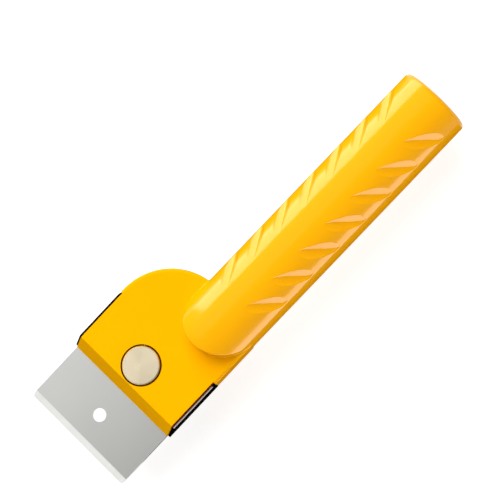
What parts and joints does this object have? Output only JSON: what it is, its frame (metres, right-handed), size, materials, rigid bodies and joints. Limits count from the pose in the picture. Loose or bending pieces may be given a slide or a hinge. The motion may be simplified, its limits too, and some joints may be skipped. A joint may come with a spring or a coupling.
{
  "type": "scraper knife",
  "caption": "Hand scraper: offset round handle moulded with a flat head, and a flat steel blade clamped under the head by a steel channel, bolt and thumb nut.",
  "frame": {"origin": "middle of the tool's length and width, at its lowest point as it lies face up", "axes": "+Z out of the head's flat face, +Y from the blade to the end of the handle, +X towards the side that the handle is flush with"},
  "size_m": [0.0418, 0.153, 0.028],
  "materials": {
    "yellow_plastic": "glossy moulded yellow",
    "blade_steel": "satin ground steel, brighter on the bevel",
    "holder_steel": "polished sheet steel with a dark finish",
    "nickel_plate": "lathe-turned, warm nickel plate",
    "spring_steel": "plain spring steel"
  },
  "bodies": {
    "handle": {"handle_body": "yellow_plastic", "clamp_bolt": "nickel_plate"},
    "holder": {"blade_holder": "holder_steel", "spring_washer": "spring_steel"},
    "blade": {"blade": "blade_steel"},
    "nut": {"clamp_nut": "nickel_plate"}
  },
  "joints": [
    {"name": "holder_release", "type": "slide", "parent": "handle", "child": "holder", "axis": [0, 0, -1], "range_m": [0, 0.014]},
    {"name": "nut_turn", "type": "hinge", "parent": "holder", "child": "nut", "pos_m": [0, -0.04563, 0.01], "axis": [0, 0, -1], "range_deg": [0, 7200]},
    {"name": "blade_release", "type": "slide", "parent": "handle", "child": "blade", "axis": [0, 0, -1], "range_m": [0, 0.0086]}
  ],
  "couplings": [
    {"joint": "nut_turn", "follows": "holder_release", "rad_per_m": 8975.9},
    {"joint": "blade_release", "follows": "holder_release", "ratio": 0.614}
  ]
}
